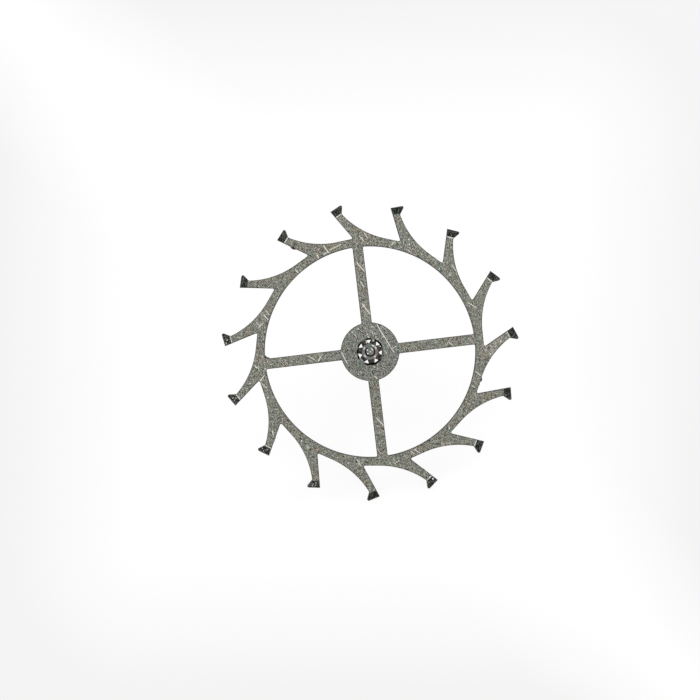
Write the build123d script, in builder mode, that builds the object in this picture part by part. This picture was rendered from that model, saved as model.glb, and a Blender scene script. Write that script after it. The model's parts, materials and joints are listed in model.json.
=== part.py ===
from build123d import *
from math import asin, atan2, cos, degrees, hypot, radians, sin, sqrt, tan
import os

# Escape wheel of a watch's lever escapement, riveted to its pinion.
# Millimetres, +Z up. The wheel lies as it comes to rest on a table: on the tip
# of its lower pivot and on the heels of two neighbouring teeth. The origin is
# on the table, straight below the wheel's centre.
# In the wheel's own plane, height 0 is the lower face, where it sits on the leaves.

# Wheel blank
wheel_thickness = 0.16
rim_inner_radius = 1.98
rim_width = 0.16
hub_radius = 0.55
spoke_count = 4
spoke_width = 0.196
spoke_angle = 6.8
window_corner_radius = 0.024

# Club teeth. Each tooth is drawn about the radius that is square to the flat
# floor of the gullet beside it.
tooth_count = 15
tooth_angle = 5.95
tooth_height = 0.589
neck_width = 0.135
arm_back_radius = 1.557
locking_corner_angle = 3.92
draw_angle = 24.7
lift_angle = 18.4
lift_length = 0.273
head_depth = 0.156
root_radius = 0.028
heel_radius = 0.031
notch_radius = 0.012
head_bevel_angle = 24
resting_tooth_count = 11

# Seat of the wheel on the pinion
seat_radius = 0.222
seat_chamfer = 0.028

# Pinion leaves
leaf_count = 7
leaf_gap_angle = 98
leaf_length = 0.78
leaf_tip_radius = 0.36
leaf_root_radius = 0.158
leaf_flank_angle = 17.2
leaf_rounding_height = 0.064
leaf_root_rounding = 0.018
leaf_end_chamfer = 0.02

# Riveted ends of the leaves, inside the wheel
rivet_height = 0.02
rivet_chamfer = 0.016
rivet_gap_width = 0.084
rivet_gap_rounding = 0.008

# Upper end of the arbor
upper_arbor_radius = 0.14
upper_arbor_height = 0.075
upper_arbor_chamfer = 0.014
undercut_outer_radius = 0.094
undercut_inner_radius = 0.076
undercut_depth = 0.03
upper_pivot_length = 0.15

# Lower end of the arbor, which tapers from the leaves to the pivot's shoulder
lower_arbor_radius = 0.13
lower_shoulder_radius = 0.096
lower_arbor_length = 0.5
lower_arbor_chamfer = 0.01
lower_pivot_length = 0.16

# Both pivots
pivot_radius = 0.045
pivot_cone_height = 0.05
pivot_end_rounding = 0.016

# Room given to the cutting profiles beyond what they cut
cut_margin = 0.04

full_angle = 360
right_angle = 90
tooth_pitch = full_angle / tooth_count
leaf_pitch = full_angle / leaf_count


def turned(radius, angle):
    """Point at a radius and an angle in degrees about the wheel's axis."""
    return Vector(radius * cos(radians(angle)), radius * sin(radians(angle)), 0)


# Corners of one tooth
floor_distance = rim_inner_radius + rim_width
locking_corner = turned(floor_distance + tooth_height, locking_corner_angle)
locking_direction = turned(1, locking_corner_angle + draw_angle)
lift_direction = turned(1, locking_corner_angle - right_angle + lift_angle)
lift_normal = lift_direction.rotate(Axis.Z, right_angle)
heel_corner = locking_corner + lift_direction * lift_length
root_reach = (floor_distance - locking_corner.X) / locking_direction.X
root_corner = locking_corner + locking_direction * root_reach

# The notch lies on the line that bounds the head, one neck's width from the locking face.
across_neck = locking_direction.rotate(Axis.Z, -right_angle)
notch_run = (neck_width + head_depth * lift_normal.dot(across_neck)) / lift_direction.dot(across_neck)
head_line_start = locking_corner - lift_normal * head_depth
notch_corner = head_line_start + lift_direction * notch_run

# The arm's concave back runs from the notch tangent into the floor of the gullet behind it.
notch_over_floor = notch_corner.rotate(Axis.Z, tooth_pitch)
back_rise = floor_distance + arm_back_radius - notch_over_floor.X
floor_run = notch_over_floor.Y - sqrt(arm_back_radius**2 - back_rise**2)
arm_back_end = Vector(floor_distance, floor_run).rotate(Axis.Z, -tooth_pitch)

# Centre of the rounding at the heel, which is what touches the table
heel_to_notch = (notch_corner - heel_corner).normalized()
heel_bisector = (heel_to_notch - lift_direction).normalized()
heel_half_angle = radians(heel_to_notch.get_angle(lift_direction * -1)) / 2
heel_centre = heel_corner + heel_bisector * (heel_radius / sin(heel_half_angle))
heel_centre_angle = degrees(atan2(heel_centre.Y, heel_centre.X))

# Heights along the arbor
wheel_top = wheel_thickness
rivet_top = wheel_top + rivet_height
upper_arbor_top = rivet_top + upper_arbor_height
upper_cone_top = upper_arbor_top + pivot_cone_height
upper_pivot_tip = upper_cone_top + upper_pivot_length
lower_arbor_end = -leaf_length - lower_arbor_length
lower_cone_end = lower_arbor_end - pivot_cone_height
lower_pivot_tip = lower_cone_end - lower_pivot_length

# Resting tilt, from the line that touches both the heels and the pivot's tip. The two
# heels are those beside the gap that follows the counted teeth.
downhill_angle = tooth_angle + heel_centre_angle + (resting_tooth_count + 1 / 2) * tooth_pitch
heel_reach = heel_centre.length * cos(radians(tooth_pitch / 2)) + heel_radius
tip_reach = pivot_radius - pivot_end_rounding
tip_drop = -lower_pivot_tip - pivot_end_rounding
contact_run = hypot(heel_reach - tip_reach, tip_drop)
rest_tilt = degrees(
    atan2(tip_drop, heel_reach - tip_reach) + asin(pivot_end_rounding / contact_run)
)
rest_turn = downhill_angle - 3 * right_angle
rest_height = heel_reach * sin(radians(rest_tilt))

seat_plane = Plane(Location((0, 0, rest_height), (rest_tilt, 0, -rest_turn)))
top_plane = seat_plane.offset(wheel_top)
section_plane = Plane(seat_plane.origin, x_dir=seat_plane.x_dir, z_dir=-seat_plane.y_dir)
arbor_axis = Axis(seat_plane.origin, seat_plane.z_dir)


# Escape wheel: one flat piece with hub, spokes, rim and club teeth
with BuildSketch(Plane.XY) as tooth:
    with BuildLine():
        Polyline(arm_back_end, root_corner, locking_corner, heel_corner, notch_corner)
        RadiusArc(notch_corner, arm_back_end, -arm_back_radius)
    make_face()
    fillet(tooth.vertices().sort_by_distance(heel_corner)[0], heel_radius)
    fillet(tooth.vertices().sort_by_distance(notch_corner)[0], notch_radius)

with BuildSketch(Plane.XY) as windows:
    Circle(rim_inner_radius)
    Circle(hub_radius, mode=Mode.SUBTRACT)
    with PolarLocations(0, spoke_count, start_angle=spoke_angle):
        Rectangle(
            rim_inner_radius, spoke_width,
            align=(Align.MIN, Align.CENTER), mode=Mode.SUBTRACT,
        )
    fillet(windows.vertices(), window_corner_radius)

tooth_turns = [tooth_angle + tooth_pitch * number for number in range(tooth_count)]
with BuildSketch(Plane.XY) as outline:
    RegularPolygon(
        floor_distance, tooth_count, major_radius=False,
        rotation=tooth_angle + tooth_pitch / 2,
    )
    with PolarLocations(0, tooth_count, start_angle=tooth_angle):
        add(tooth.sketch)
    roots = [
        outline.vertices().sort_by_distance(root_corner.rotate(Axis.Z, turn))[0]
        for turn in tooth_turns
    ]
    fillet(roots, root_radius)
    add(windows.sketch, mode=Mode.SUBTRACT)
    Circle(seat_radius, mode=Mode.SUBTRACT)


def bevel_plane(turn):
    """Plane square to the head's bevel line, in the middle of one head."""
    middle = (head_line_start + lift_direction * (lift_length / 2)).rotate(Axis.Z, turn)
    outward = lift_normal.rotate(Axis.Z, turn)
    along = lift_direction.rotate(Axis.Z, turn)
    return Plane(
        top_plane.from_local_coords(middle),
        x_dir=(seat_plane.x_dir * outward.X + seat_plane.y_dir * outward.Y),
        z_dir=(seat_plane.x_dir * along.X + seat_plane.y_dir * along.Y),
    )


with BuildPart() as escape_wheel:
    with BuildSketch(seat_plane):
        add(outline.sketch)
    extrude(amount=wheel_thickness)
    with BuildSketch(*[bevel_plane(turn) for turn in tooth_turns]) as head_bevels:
        with BuildLine():
            bevel_reach = head_depth + cut_margin
            Polyline(
                (0, 0), (bevel_reach, -bevel_reach * tan(radians(head_bevel_angle))),
                (bevel_reach, cut_margin), (0, cut_margin),
                close=True,
            )
        make_face()
    extrude(amount=lift_length, both=True, mode=Mode.SUBTRACT)
    seat_edge = (
        escape_wheel.edges()
        .filter_by(GeomType.CIRCLE)
        .filter_by(lambda edge: abs(edge.radius - seat_radius) < seat_chamfer)
        .sort_by(arbor_axis)[-1]
    )
    chamfer(seat_edge, seat_chamfer)

escape_wheel.part.label = "escape_wheel"


# Escape pinion: leaves, riveted leaf ends, arbor and pivots turned from one bar
pivot_trumpet_run = undercut_inner_radius - pivot_radius
pivot_trumpet_radius = (pivot_trumpet_run**2 + pivot_cone_height**2) / (2 * pivot_trumpet_run)

with BuildSketch(Plane.XY) as arbor_section:
    with BuildLine():
        Polyline(
            (undercut_inner_radius, lower_arbor_end), (lower_shoulder_radius, lower_arbor_end),
            (lower_arbor_radius, -leaf_length), (upper_arbor_radius, 0),
            (upper_arbor_radius, upper_arbor_top), (undercut_outer_radius, upper_arbor_top),
            (undercut_outer_radius, upper_arbor_top - undercut_depth),
            (undercut_inner_radius, upper_arbor_top - undercut_depth),
            (undercut_inner_radius, upper_arbor_top),
        )
        RadiusArc(
            (undercut_inner_radius, upper_arbor_top), (pivot_radius, upper_cone_top),
            pivot_trumpet_radius,
        )
        Polyline(
            (pivot_radius, upper_cone_top), (pivot_radius, upper_pivot_tip),
            (0, upper_pivot_tip), (0, lower_pivot_tip),
            (pivot_radius, lower_pivot_tip), (pivot_radius, lower_cone_end),
        )
        RadiusArc(
            (pivot_radius, lower_cone_end), (undercut_inner_radius, lower_arbor_end),
            pivot_trumpet_radius,
        )
    make_face()
    pivot_ends = [
        arbor_section.vertices().sort_by_distance((pivot_radius, tip))[0]
        for tip in (upper_pivot_tip, lower_pivot_tip)
    ]
    fillet(pivot_ends, pivot_end_rounding)
    chamfer(
        arbor_section.vertices().sort_by_distance((upper_arbor_radius, upper_arbor_top))[0],
        upper_arbor_chamfer,
    )
    chamfer(
        arbor_section.vertices().sort_by_distance((lower_shoulder_radius, lower_arbor_end))[0],
        lower_arbor_chamfer,
    )

leaf_flank_radius = leaf_tip_radius - leaf_rounding_height
with BuildSketch(Plane.XY) as leaf:
    with BuildLine():
        Polyline(
            turned(leaf_flank_radius, -leaf_flank_angle / 2), (0, 0),
            turned(leaf_flank_radius, leaf_flank_angle / 2),
        )
        ThreePointArc(
            turned(leaf_flank_radius, leaf_flank_angle / 2), (leaf_tip_radius, 0),
            turned(leaf_flank_radius, -leaf_flank_angle / 2),
        )
    make_face()

# Gap between two riveted leaf ends, open to the wall of the wheel's hole
rivet_gap_reach = seat_radius + cut_margin
rivet_gap_slope = rivet_gap_width / 2 / (seat_radius - leaf_root_radius)
rivet_gap_end = rivet_gap_slope * (rivet_gap_reach - leaf_root_radius)
with BuildSketch(Plane.XY) as rivet_gap:
    with BuildLine():
        Polyline(
            (leaf_root_radius, 0), (rivet_gap_reach, rivet_gap_end),
            (rivet_gap_reach, -rivet_gap_end),
            close=True,
        )
    make_face()
    fillet(rivet_gap.vertices().sort_by(Axis.X)[0], rivet_gap_rounding)

# Sloped edges, turned on the lower leaf ends and left by the punch on the riveted ones
leaf_end_reach = leaf_end_chamfer + cut_margin
rivet_reach = rivet_chamfer + cut_margin
with BuildSketch(Plane.XY) as edge_slopes:
    with BuildLine():
        Polyline(
            (leaf_tip_radius - leaf_end_chamfer, -leaf_length),
            (leaf_tip_radius + cut_margin, leaf_end_reach - leaf_length),
            (leaf_tip_radius + cut_margin, -leaf_length),
            close=True,
        )
    make_face()
    with BuildLine():
        Polyline(
            (seat_radius - rivet_chamfer, rivet_top),
            (seat_radius + cut_margin, rivet_top - rivet_reach),
            (seat_radius + cut_margin, rivet_top),
            close=True,
        )
    make_face()

with BuildPart() as escape_pinion:
    with BuildSketch(section_plane):
        add(arbor_section.sketch)
    revolve(axis=arbor_axis)
    with BuildSketch(seat_plane.offset(-leaf_length)) as leaves:
        Circle(leaf_root_radius)
        with PolarLocations(0, leaf_count, start_angle=leaf_gap_angle + leaf_pitch / 2):
            add(leaf.sketch)
        leaf_roots = leaves.vertices().filter_by(
            lambda corner: abs(hypot(corner.X, corner.Y) - leaf_root_radius) < leaf_root_rounding
        )
        fillet(leaf_roots, leaf_root_rounding)
    extrude(amount=leaf_length)
    with BuildSketch(seat_plane):
        Circle(seat_radius)
        with PolarLocations(0, leaf_count, start_angle=leaf_gap_angle):
            add(rivet_gap.sketch, mode=Mode.SUBTRACT)
    extrude(amount=rivet_top)
    with BuildSketch(section_plane):
        add(edge_slopes.sketch)
    revolve(axis=arbor_axis, mode=Mode.SUBTRACT)

escape_pinion.part.label = "escape_pinion"

os.makedirs("parts", exist_ok=True)
for piece in (escape_wheel.part, escape_pinion.part):
    export_step(piece, f"parts/{piece.label}.step")
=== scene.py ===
import json
from math import atan2, ceil, cos, degrees, pi, radians, sin, sqrt, tan

import bmesh
import bpy
from mathutils import Matrix, Vector
from mathutils.geometry import intersect_point_line


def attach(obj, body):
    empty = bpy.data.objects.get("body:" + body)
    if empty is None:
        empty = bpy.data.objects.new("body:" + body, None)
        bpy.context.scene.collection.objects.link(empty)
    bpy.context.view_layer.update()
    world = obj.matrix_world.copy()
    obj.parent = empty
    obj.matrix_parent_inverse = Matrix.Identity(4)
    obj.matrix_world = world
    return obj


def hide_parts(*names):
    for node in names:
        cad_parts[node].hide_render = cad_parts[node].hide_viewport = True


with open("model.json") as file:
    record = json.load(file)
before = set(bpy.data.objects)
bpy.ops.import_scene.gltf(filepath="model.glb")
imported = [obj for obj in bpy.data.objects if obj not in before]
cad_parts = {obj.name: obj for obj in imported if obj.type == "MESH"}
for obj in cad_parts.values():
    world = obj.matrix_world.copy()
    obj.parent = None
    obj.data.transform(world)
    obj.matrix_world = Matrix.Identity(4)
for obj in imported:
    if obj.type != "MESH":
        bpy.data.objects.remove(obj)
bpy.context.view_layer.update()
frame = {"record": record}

# Escape wheel of a watch, riveted on its pinion. Everything is drawn in millimetres
# in the wheel's own plane, with height 0 at its lower face, and then set down as it
# rests: tilted, on the lower pivot's tip and on two tooth heels.

zAxis = Vector((0, 0, 1))
yAxis = Vector((0, 1, 0))
millimetre = 0.001  # m
weld = 1e-5  # mm, points closer than this are one
flatNormal = 0.999  # a face is level where its normal rises more than this


# A point at a distance from the arbor's line and in a direction from it
def turned(radius, angle):
    return Vector((radius * cos(radians(angle)), radius * sin(radians(angle)), 0))


def spinPoint(point, angle):
    return Matrix.Rotation(radians(angle), 3, "Z") @ point


# A pen for outlines: it starts at a point and leaves edges behind it
def penStart(bm, point):
    return bmesh.ops.create_vert(bm, co=point)["vert"][0]


def penLine(bm, tip, point):
    tip = bmesh.ops.extrude_vert_indiv(bm, verts=[tip])["verts"][0]
    tip.co = point
    return tip


def penArc(bm, tip, centre, end, steps, axis=zAxis):
    before, after = tip.co - centre, end - centre
    angle = atan2(before.cross(after).dot(axis), before.dot(after))
    made = bmesh.ops.spin(bm, geom=[tip], cent=centre, axis=axis, angle=angle, steps=steps)
    return made["geom_last"][0]


def nearest(bm, point):
    return min(bm.verts, key=lambda v: (v.co - point).length)


# Rounds the corner of a drawn line with a true arc
def roundCorner(bm, corner, radius, segments, axis=zAxis):
    vert = nearest(bm, corner)
    ends = [edge.other_vert(vert) for edge in vert.link_edges]
    sides = [(end.co - vert.co).normalized() for end in ends]
    half = sides[0].angle(sides[1]) / 2
    centre = vert.co + (sides[0] + sides[1]).normalized() * (radius / sin(half))
    first, last = (vert.co + side * (radius / tan(half)) for side in sides)
    bmesh.ops.delete(bm, geom=[vert], context="VERTS")
    tip = penArc(bm, penLine(bm, ends[0], first), centre, last, segments, axis)
    bm.edges.new((tip, ends[1]))


# Fills the drawn outline, holes included, and raises it into a plate
def raisePlate(bm, low, high):
    bmesh.ops.remove_doubles(bm, verts=bm.verts, dist=weld)
    filled = bmesh.ops.triangle_fill(bm, use_beauty=True, edges=bm.edges[:], normal=zAxis)
    faces = [item for item in filled["geom"] if isinstance(item, bmesh.types.BMFace)]
    bmesh.ops.translate(bm, verts=bm.verts, vec=(0, 0, low))
    made = bmesh.ops.extrude_face_region(bm, geom=faces)
    raised = [item for item in made["geom"] if isinstance(item, bmesh.types.BMVert)]
    bmesh.ops.translate(bm, verts=raised, vec=(0, 0, high - low))
    bmesh.ops.recalc_face_normals(bm, faces=bm.faces)


def facesFacing(bm, side, height):
    return [
        face for face in bm.faces
        if face.normal.z * side > flatNormal
        and abs(face.calc_center_median().z - height) < weld
    ]


# Distance of a point from the arbor's line
def reach(point):
    return sqrt(point.x**2 + point.y**2)


# Moves a point away from the arbor's line or towards it
def growPoint(point, factor):
    return Vector((point.x * factor, point.y * factor, point.z))


# Ends a bmesh as an object at the origin, in metres and in its resting place
def finishPiece(bm, name, finishes, finishOf, sharpAngle):
    bm.normal_update()
    for face in bm.faces:
        face.material_index = finishes.index(finishOf(face))
    openEdges = sum(not edge.is_manifold for edge in bm.edges)
    print(name, "faces", len(bm.faces), "open edges", openEdges)
    mesh = bpy.data.meshes.new(name)
    bm.to_mesh(mesh)
    bm.free()
    mesh.transform(wheelPlace)
    for finish in finishes:
        mesh.materials.append(finish)
    mesh.shade_smooth()
    mesh.set_sharp_from_angle(angle=radians(sharpAngle))
    piece = bpy.data.objects.new(name, mesh)
    bpy.context.scene.collection.objects.link(piece)
    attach(piece, "root")
    return piece


# One tooth: the wheel has fifteen, each with a club head that is bevelled on top.
# Lengths are in millimetres and angles in degrees, here and in the other pieces.
teeth = {
    "count": 15,
    "angle": 5.95,
    "floor": 2.14,
    "height": 0.589,
    "neckWidth": 0.135,
    "backRadius": 1.557,
    "lockAngle": 3.92,
    "drawAngle": 24.7,
    "liftAngle": 18.4,
    "liftLength": 0.273,
    "headDepth": 0.156,
    "headSlope": 24,
    "rootRounding": 0.028,
    "rootSteps": 10,
    "heelRounding": 0.031,
    "heelSteps": 12,
    "notchRounding": 0.012,
    "notchSteps": 8,
    "crestWidth": 0.015,
    "headNormal": 0.85,  # least rise of the normal on a bevel
    "crestNormal": 0.95,
    "countToRest": 11,  # heads before the two that touch the table
    # heads whose bevel line gets the painted highlight
    "highlightedCrests": (0, 1, 2, 4, 5, 7, 8, 9, 12, 13),
}
pitch = 360 / teeth["count"]
lockCorner = turned(teeth["floor"] + teeth["height"], teeth["lockAngle"])
lockLine = turned(1, teeth["lockAngle"] + teeth["drawAngle"])
liftLine = turned(1, teeth["lockAngle"] - 90 + teeth["liftAngle"])
liftNormal = spinPoint(liftLine, 90)
heelCorner = lockCorner + liftLine * teeth["liftLength"]
rootCorner = lockCorner + lockLine * ((teeth["floor"] - lockCorner.x) / lockLine.x)
acrossNeck = spinPoint(lockLine, -90)
headStart = lockCorner - liftNormal * teeth["headDepth"]
notchRun = teeth["neckWidth"] + teeth["headDepth"] * liftNormal.dot(acrossNeck)
notchCorner = headStart + liftLine * (notchRun / liftLine.dot(acrossNeck))
notchOverFloor = spinPoint(notchCorner, pitch)
backRise = teeth["floor"] + teeth["backRadius"] - notchOverFloor.x
floorRun = notchOverFloor.y - sqrt(teeth["backRadius"] ** 2 - backRise**2)
nextBackEnd = Vector((teeth["floor"], floorRun, 0))
backEnd = spinPoint(nextBackEnd, -pitch)
backCentre = spinPoint(nextBackEnd + Vector((teeth["backRadius"], 0, 0)), -pitch)
headMiddle = (lockCorner + heelCorner + headStart + notchCorner) / 4

# Centre of the heel's rounding, on which the wheel lies
heelToNotch = (notchCorner - heelCorner).normalized()
heelHalfAngle = heelToNotch.angle(-liftLine) / 2
heelBisector = (heelToNotch - liftLine).normalized()
heelCentre = heelCorner + heelBisector * (teeth["heelRounding"] / sin(heelHalfAngle))

# Where the wheel lies: tilt and height from the upper pivot's mount, turn from the heels
upperPivot = next(mount for mount in frame["record"]["mounts"] if mount["name"] == "upper_pivot")
arborUp = Vector(upperPivot["axis"])
pivotAt = Vector(upperPivot["pos_m"])
restTilt = atan2(-arborUp.y, arborUp.z)
restHeight = (pivotAt - arborUp * (pivotAt.y / arborUp.y)).z
downhillAngle = (
    teeth["angle"] + degrees(atan2(heelCentre.y, heelCentre.x))
    + (teeth["countToRest"] + 0.5) * pitch
)
restTurn = radians(downhillAngle - 270)
seatPlace = (
    Matrix.Translation((0, 0, restHeight))
    @ Matrix.Rotation(restTilt, 4, "X")
    @ Matrix.Rotation(-restTurn, 4, "Z")
)
wheelPlace = seatPlace @ Matrix.Scale(millimetre, 4)
print("wheel lies at tilt", round(degrees(restTilt), 3))


# Short ways to add and link shader nodes
class Nodes:
    measures = ("LENGTH", "DISTANCE", "DOT_PRODUCT")  # these give a number
    strokeDetail = 1.5
    cloudLevels = (0.35, 0.65)
    # a mark is full up to this share of its half length, half width or size
    fullLength = 0.85
    fullWidth = 0.3
    fullSpot = 0.4

    def __init__(self, owner):
        owner.use_nodes = True
        self.tree = owner.node_tree
        self.tree.nodes.clear()

    def add(self, kind, **settings):
        node = self.tree.nodes.new(kind)
        for name, value in settings.items():
            setattr(node, name, value)
        return node

    def feed(self, socket, value):
        if isinstance(value, bpy.types.NodeSocket):
            self.tree.links.new(value, socket)
        else:
            socket.default_value = value

    def operate(self, kind, operation, values):
        node = self.add(kind, operation=operation)
        for socket, value in zip(node.inputs, values):
            self.feed(socket, value)
        return node.outputs

    def math(self, operation, *values):
        return self.operate("ShaderNodeMath", operation, values)[0]

    def vector(self, operation, *values):
        outputs = self.operate("ShaderNodeVectorMath", operation, values)
        return outputs["Value" if operation in self.measures else "Vector"]

    # Straight ramp from 0 at the first level to 1 at the second
    def ramp(self, value, low, high):
        node = self.add("ShaderNodeMapRange", clamp=True)
        self.feed(node.inputs["Value"], value)
        self.feed(node.inputs["From Min"], low)
        self.feed(node.inputs["From Max"], high)
        return node.outputs["Result"]

    def colour(self, socket, value):
        self.feed(socket, value if isinstance(value, bpy.types.NodeSocket) else (*value, 1))

    def mix(self, amount, first, second, blend="MIX"):
        node = self.add("ShaderNodeMix", data_type="RGBA", blend_type=blend)
        self.feed(node.inputs["Factor"], amount)
        self.colour(node.inputs["A"], first)
        self.colour(node.inputs["B"], second)
        return node.outputs["Result"]

    # Highest of several values
    def most(self, values):
        values = iter(values)
        top = next(values)
        for value in values:
            top = self.math("MAXIMUM", top, value)
        return top

    # A vector as it is seen from a place, turned and measured in a scale
    def seenFrom(self, vector, place, rotation, scale):
        node = self.add("ShaderNodeMapping", vector_type="TEXTURE")
        for name, value in (("Location", place), ("Rotation", rotation), ("Scale", scale)):
            node.inputs[name].default_value = value
        self.feed(node.inputs["Vector"], vector)
        return node.outputs["Vector"]

    # Object coordinates brought back to the wheel's own plane, in millimetres
    def wheelPlane(self):
        place = self.add("ShaderNodeTexCoord").outputs["Object"]
        scale = (millimetre, millimetre, millimetre)
        return self.seenFrom(place, seatPlace.translation, seatPlace.to_euler(), scale)

    def noise(self, vector, scale, detail):
        node = self.add("ShaderNodeTexNoise")
        node.inputs["Scale"].default_value = scale
        node.inputs["Detail"].default_value = detail
        self.feed(node.inputs["Vector"], vector)
        return node.outputs["Fac"]

    # Soft patches, 0 where the noise is under the first level and 1 over the second
    def clouds(self, plane, scale, levels=cloudLevels, detail=2.0):
        return self.ramp(self.noise(plane, scale, detail), *levels)

    # Noise drawn out along one direction of the wheel's plane
    def strokes(self, plane, angle, length, seed, width):
        rotation, scale = (0, 0, radians(angle)), (length, width, width)
        drawn = self.seenFrom(plane, (seed, seed, 0), rotation, scale)
        return self.noise(drawn, 1, self.strokeDetail)

    # The plane with every height set to 1, so that one dot product measures a place on it
    def sheetOf(self, plane):
        return self.vector("MULTIPLY_ADD", plane, (1, 1, 0), (0, 0, 1))

    # One straight scratch between two points of the sheet
    def scratch(self, sheet, start, end, width):
        middle, run = (Vector(start) + Vector(end)) / 2, Vector(end) - Vector(start)
        along = (run, run.length / 2, self.fullLength)
        across = (run.orthogonal(), width / 2, self.fullWidth)
        parts = []
        for way, half, full in (along, across):
            way = way.normalized() / half
            measured = self.vector("DOT_PRODUCT", sheet, (*way, -middle.dot(way)))
            parts.append(self.ramp(self.math("ABSOLUTE", measured), 1.0, full))
        return self.math("MULTIPLY", *parts)

    def scratches(self, plane, lines, width):
        sheet = self.sheetOf(plane)
        return self.most(
            self.scratch(sheet, fromPixel(*start), fromPixel(*end), width)
            for start, end in lines
        )

    # A round mark by the distance from its middle
    def disc(self, away, size):
        return self.ramp(away, size, self.fullSpot * size)

    def spots(self, plane, sizedPlaces):
        sheet = self.sheetOf(plane)
        return self.most(
            self.disc(self.vector("DISTANCE", sheet, (*fromPixel(*middle), 1)), size)
            for middle, size in sizedPlaces
        )

    def specks(self, plane, places, size):
        return self.spots(plane, [(middle, size) for middle in places])

    # Distance from the arbor's line
    def reachOf(self, plane):
        return self.vector("LENGTH", self.vector("MULTIPLY", plane, (1, 1, 0)))

    # 1 within one angle of a direction from the arbor, 0 beyond another
    def towards(self, plane, angle, full, fade):
        flat = self.vector("NORMALIZE", self.vector("MULTIPLY", plane, (1, 1, 0)))
        facing = self.vector("DOT_PRODUCT", flat, turned(1, angle))
        return self.ramp(facing, cos(radians(fade)), cos(radians(full)))

    # The same, only on one side of a distance from the arbor's line
    def arcPatch(self, plane, arc, reachLevels):
        return self.math(
            "MULTIPLY", self.towards(plane, *arc), self.ramp(self.reachOf(plane), *reachLevels)
        )

    def metal(self, colour, roughness, metallic=1.0, bump=None, bumpHeight=0):
        shader = self.add("ShaderNodeBsdfPrincipled")
        self.colour(shader.inputs["Base Color"], colour)
        shader.inputs["Roughness"].default_value = roughness
        shader.inputs["Metallic"].default_value = metallic
        if bump:
            raised = self.add("ShaderNodeBump")
            raised.inputs["Strength"].default_value = 1
            raised.inputs["Distance"].default_value = bumpHeight
            self.feed(raised.inputs["Height"], bump)
            self.feed(shader.inputs["Normal"], raised.outputs["Normal"])
        output = self.add("ShaderNodeOutputMaterial")
        self.feed(output.inputs["Surface"], shader.outputs[0])
        return shader


photoScale = 0.018767  # mm in one pixel at the wheel
wheelPixel = (370.08, 351.65)


def fromPixel(x, y):
    return ((x - wheelPixel[0]) * photoScale, (wheelPixel[1] - y) * photoScale)


# Blackened, finely scratched steel of the wheel's flat sides
grain = {
    "dark": (0.024, 0.024, 0.020),
    "light": (0.333, 0.334, 0.285),
    "warm": (0.355, 0.294, 0.205),
    "warmScale": 5.5,
    "warmLevels": (0.50, 0.69),
    "green": (0.262, 0.340, 0.256),
    "greenScale": 6.5,
    "greenLevels": (0.50, 0.68),
    "patchDetail": 6,
    "pale": (0.47, 0.455, 0.385),
    "bright": (0.95, 0.93, 0.84),
    "hubTone": (0.92, 0.94, 0.98),
    "hubReach": (0.66, 0.56),
    # painted shade: the face is made darker towards 272° by these factors
    "shade": (0.93, 0.93, 0.93),
    "paintedShadeArc": (272, 10, 140),  # direction, where it is full and where it ends
    "roughness": 0.45,
    "metallic": 0.85,
    "bump": 8e-7,  # m
    # angle, length and place on the noise
    "falling": (-52, 0.07, 3.1),
    "rising": (42, 0.07, 12.4),
    "pits": (0, 0.008, 19.9),
    "sparkle": (-52, 0.03, 27.3),
    "hair": (-52, 0.3, 31.7),
    "strokeWidth": 0.008,
    "risingShare": 0.45,
    "pitShare": 0.35,
    "cutLevels": (0.82, 1.02),
    "sparkleLevels": (0.58, 0.65),
    "hairLevels": (0.67, 0.72),
    "faintShare": 0.75,
    "scratchWidth": 0.018,
    "speckSize": 0.017,
}

# Marks on the face, placed by their pixel in the picture: scratches from end to end,
# specks, and stains, pale patches and dark spots with their size in mm
deepScratches = [
    ((376.6, 323.9), (390.6, 347.0)),
    ((341.3, 352.1), (347.6, 364.2)),
    ((374.9, 376.0), (377.7, 379.1)),
    ((356.2, 261.8), (364.5, 271.8)),
    ((323.3, 245.3), (328.9, 253.1)),
    ((295.1, 269.2), (298.6, 273.1)),
    ((263.5, 314.7), (268.3, 319.9)),
    ((376.1, 417.5), (383.9, 425.7)),
    ((414.1, 449.0), (420.2, 453.4)),
    ((271.9, 430.6), (273.8, 435.7)),
    ((316.8, 254.4), (319.0, 258.3)),
    ((361.9, 303.2), (370.3, 314.6)),
    ((259.5, 381.9), (262.3, 378.4)),
    ((262.2, 378.6), (264.4, 375.2)),
]
faintScratches = [
    ((328.9, 250.5), (341.9, 244.0)),
    ((363.9, 232.4), (367.8, 238.0)),
    ((359.0, 235.7), (363.9, 241.2)),
    ((359.9, 281.0), (364.5, 287.5)),
    ((322.9, 254.9), (328.9, 251.4)),
    ((265.7, 310.3), (269.1, 314.7)),
    ((257.9, 328.5), (263.9, 322.5)),
    ((256.1, 322.5), (259.6, 325.9)),
    ((390.3, 349.3), (397.3, 345.8)),
    ((390.4, 347.0), (394.5, 352.8)),
    ((391.4, 245.0), (394.7, 242.3)),
    ((408.0, 249.5), (411.4, 253.2)),
    ((410.3, 451.1), (414.7, 453.8)),
    ((441.1, 442.8), (443.8, 445.9)),
    ((451.8, 264.6), (456.6, 272.1)),
    ((467.4, 302.4), (476.8, 307.9)),
    ((476.0, 371.5), (480.7, 375.8)),
    ((472.1, 385.3), (474.7, 387.9)),
    ((447.8, 341.1), (453.0, 345.5)),
    ((306.4, 445.3), (309.3, 448.9)),
    ((361.4, 307.3), (364.6, 304.6)),
    ((308.3, 355.8), (315.1, 360.0)),
    ((318.5, 360.2), (322.2, 354.1)),
    ((254.6, 365.3), (259.4, 369.6)),
    ((261.0, 382.6), (266.8, 388.4)),
    ((356.4, 458.7), (360.9, 466.3)),
    ((394.5, 463.9), (399.4, 460.3)),
    ((376.1, 339.9), (378.3, 338.1)),
    ((371.1, 326.0), (374.7, 327.6)),
    ((354.4, 334.1), (356.6, 337.7)),
    ((384.2, 350.9), (387.2, 353.7)),
    ((379.3, 358.9), (381.3, 357.0)),
]
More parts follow.
